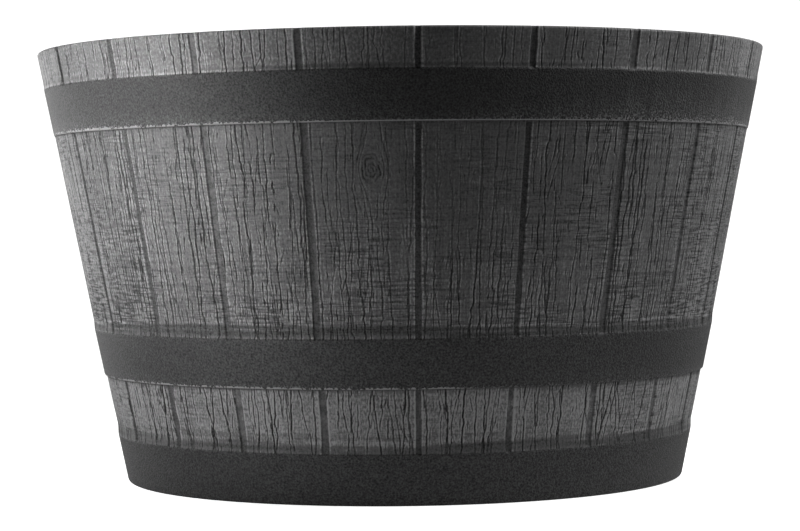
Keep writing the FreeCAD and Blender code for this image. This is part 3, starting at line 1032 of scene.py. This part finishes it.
# The camera as fitted to the photograph: place in metres, lens and sensor in millimetres, tilt in degrees
CAMERA_PLACE = (-0.0019, -1.7493, 0.1881)
CAMERA_LENS = 108.45
CAMERA_SENSOR = 36.0
CAMERA_DOWN = 1.206
CAMERA_ROLL = -0.692
# Soft boxes: name, place, the point that it faces, width and height in metres, watts, and beam in degrees
SOFT_BOXES = (
    ("left_side_soft_box", (-0.886, -0.156, 0.35), (0, 0, 0.2), (0.3, 0.4), 2.68, 180),
    ("left_near_soft_box", (-0.345, -0.265, 0.3), (0, 0, 0.2), (0.1, 0.3), 0.34, 180),
    ("left_back_soft_box", (-0.655, 0.459, 0.22), (0, 0, 0.15), (0.3, 0.4), 2.5, 180),
    ("left_upper_grid_box", (-0.6357, -0.706, 0.4), (-0.1654, -0.1971, 0.29), (0.1, 0.1), 0.07, 18),
    ("left_middle_grid_box", (-0.7947, -0.4225, 0.35), (-0.1563, -0.1862, 0.22), (0.12, 0.12), 0.07, 30),
    ("left_lower_grid_box", (-0.6357, -0.706, 0.2), (-0.1472, -0.1754, 0.15), (0.12, 0.12), 0.07, 24),
    ("right_soft_box", (0.725, -0.338, 1.1), (0, 0, 0.39), (0.3, 0.4), 10.0, 180),
    ("right_near_soft_box", (0.5, -0.1, 0.5), (0, 0, 0.2), (0.15, 0.3), 0.68, 180),
    ("right_back_soft_box", (0.655, 0.459, 0.22), (0, 0, 0.15), (0.3, 0.4), 0.68, 180),
    ("mouth_grid_box", (0, 0, 1.7), (0, 0, 0), (0.12, 0.12), 0.35, 16),
)


def studio_floor():
    """A pale round floor on the ground, which shows brighter beside the tub than under it, and fades out to
    the white backdrop at its edge."""
    rings = np.array(STUDIO_RINGS)[:, None]
    angle = np.linspace(0, 2 * math.pi, STUDIO_ROUND + 1)[:-1]
    level = np.full((len(rings), STUDIO_ROUND), -STUDIO_BELOW)
    places = np.stack([rings * np.cos(angle), rings * np.sin(angle), level], axis=-1)
    row, column = grid_corners(len(rings), STUDIO_ROUND + 1)
    quads = (row * STUDIO_ROUND + column % STUDIO_ROUND)[:, ::-1]
    made, tree = new_material("pale_floor")
    tree.nodes.remove(tree.nodes["Principled BSDF"])
    solid = add_node(tree, "ShaderNodeTexCoord").outputs["Object"]
    away = add_node(tree, "ShaderNodeVectorMath", set_operation="LENGTH", in_0=solid).outputs["Value"]
    paint = add_node(tree, "ShaderNodeBsdfDiffuse", Color=STUDIO_PAINT)
    path = add_node(tree, "ShaderNodeLightPath")
    beside_tub = spread_between(away, 0.165, 0.18, 0.0, 0.82)
    seen_glow = times(path.outputs["Is Camera Ray"], beside_tub)
    glow = add_node(tree, "ShaderNodeEmission", Color=WHITE, Strength=seen_glow)
    lit = add_node(tree, "ShaderNodeAddShader", in_0=paint.outputs[0], in_1=glow.outputs[0])
    clear = add_node(tree, "ShaderNodeBsdfTransparent")
    fade = spread_between(away, 0.5, 1.05)
    seen = add_node(tree, "ShaderNodeMixShader", in_0=fade, in_1=lit.outputs[0], in_2=clear.outputs[0])
    tree.links.new(seen.outputs[0], tree.nodes["Material Output"].inputs["Surface"])
    floor = lay_mesh("studio_floor", places.reshape(-1, 3), [quads], made)


def soft_box(name, place, aim, size, power, beam):
    """A soft box light at a place, facing a point, with its size in metres and the angle of its beam in
    degrees, which a grid on the box narrows."""
    data = bpy.data.lights.new(name, "AREA")
    data.shape = "RECTANGLE"
    data.size, data.size_y = size
    data.energy = power
    data.spread = math.radians(beam)
    lamp = bpy.data.objects.new(name, data)
    lamp.location = place
    lamp.rotation_euler = (Vector(aim) - Vector(place)).to_track_quat("-Z", "Y").to_euler()
    lamp.visible_camera = False
    bpy.context.scene.collection.objects.link(lamp)


def white_surround():
    """A white backdrop to the eye, whose own light is dim in front of the tub and brighter behind it."""
    world = bpy.data.worlds.new("surround")
    bpy.context.scene.world = world
    world.use_nodes = True
    tree = world.node_tree
    tree.nodes.remove(tree.nodes["Background"])
    way = add_node(tree, "ShaderNodeTexCoord").outputs["Generated"]
    parts = add_node(tree, "ShaderNodeSeparateXYZ", Vector=way)
    behind = spread_between(parts.outputs[1], -0.2, 0.8, 0.0, 0.02)
    dim = add_node(tree, "ShaderNodeBackground", Color=WHITE, Strength=behind)
    white = add_node(tree, "ShaderNodeBackground", Color=WHITE, Strength=1.15)
    path = add_node(tree, "ShaderNodeLightPath")
    seen = add_node(tree, "ShaderNodeMixShader", in_0=path.outputs["Is Camera Ray"],
                    in_1=dim.outputs[0], in_2=white.outputs[0])
    tree.links.new(seen.outputs[0], tree.nodes["World Output"].inputs["Surface"])


def photo_camera():
    """The camera where the photograph's perspective puts it, tilted down and rolled a little."""
    data = bpy.data.cameras.new("camera")
    data.sensor_width = CAMERA_SENSOR
    data.lens = CAMERA_LENS
    data.clip_start = 0.05
    data.clip_end = 60
    camera = bpy.data.objects.new("camera", data)
    camera.location = CAMERA_PLACE
    level = Euler((math.radians(90 - CAMERA_DOWN), 0, 0)).to_matrix()
    roll = Euler((0, 0, math.radians(CAMERA_ROLL))).to_matrix()
    camera.rotation_euler = (level @ roll).to_euler()
    bpy.context.scene.collection.objects.link(camera)
    bpy.context.scene.camera = camera


studio_floor()
white_surround()
for box in SOFT_BOXES:
    soft_box(*box)
photo_camera()
bpy.context.scene.view_settings.view_transform = "Standard"
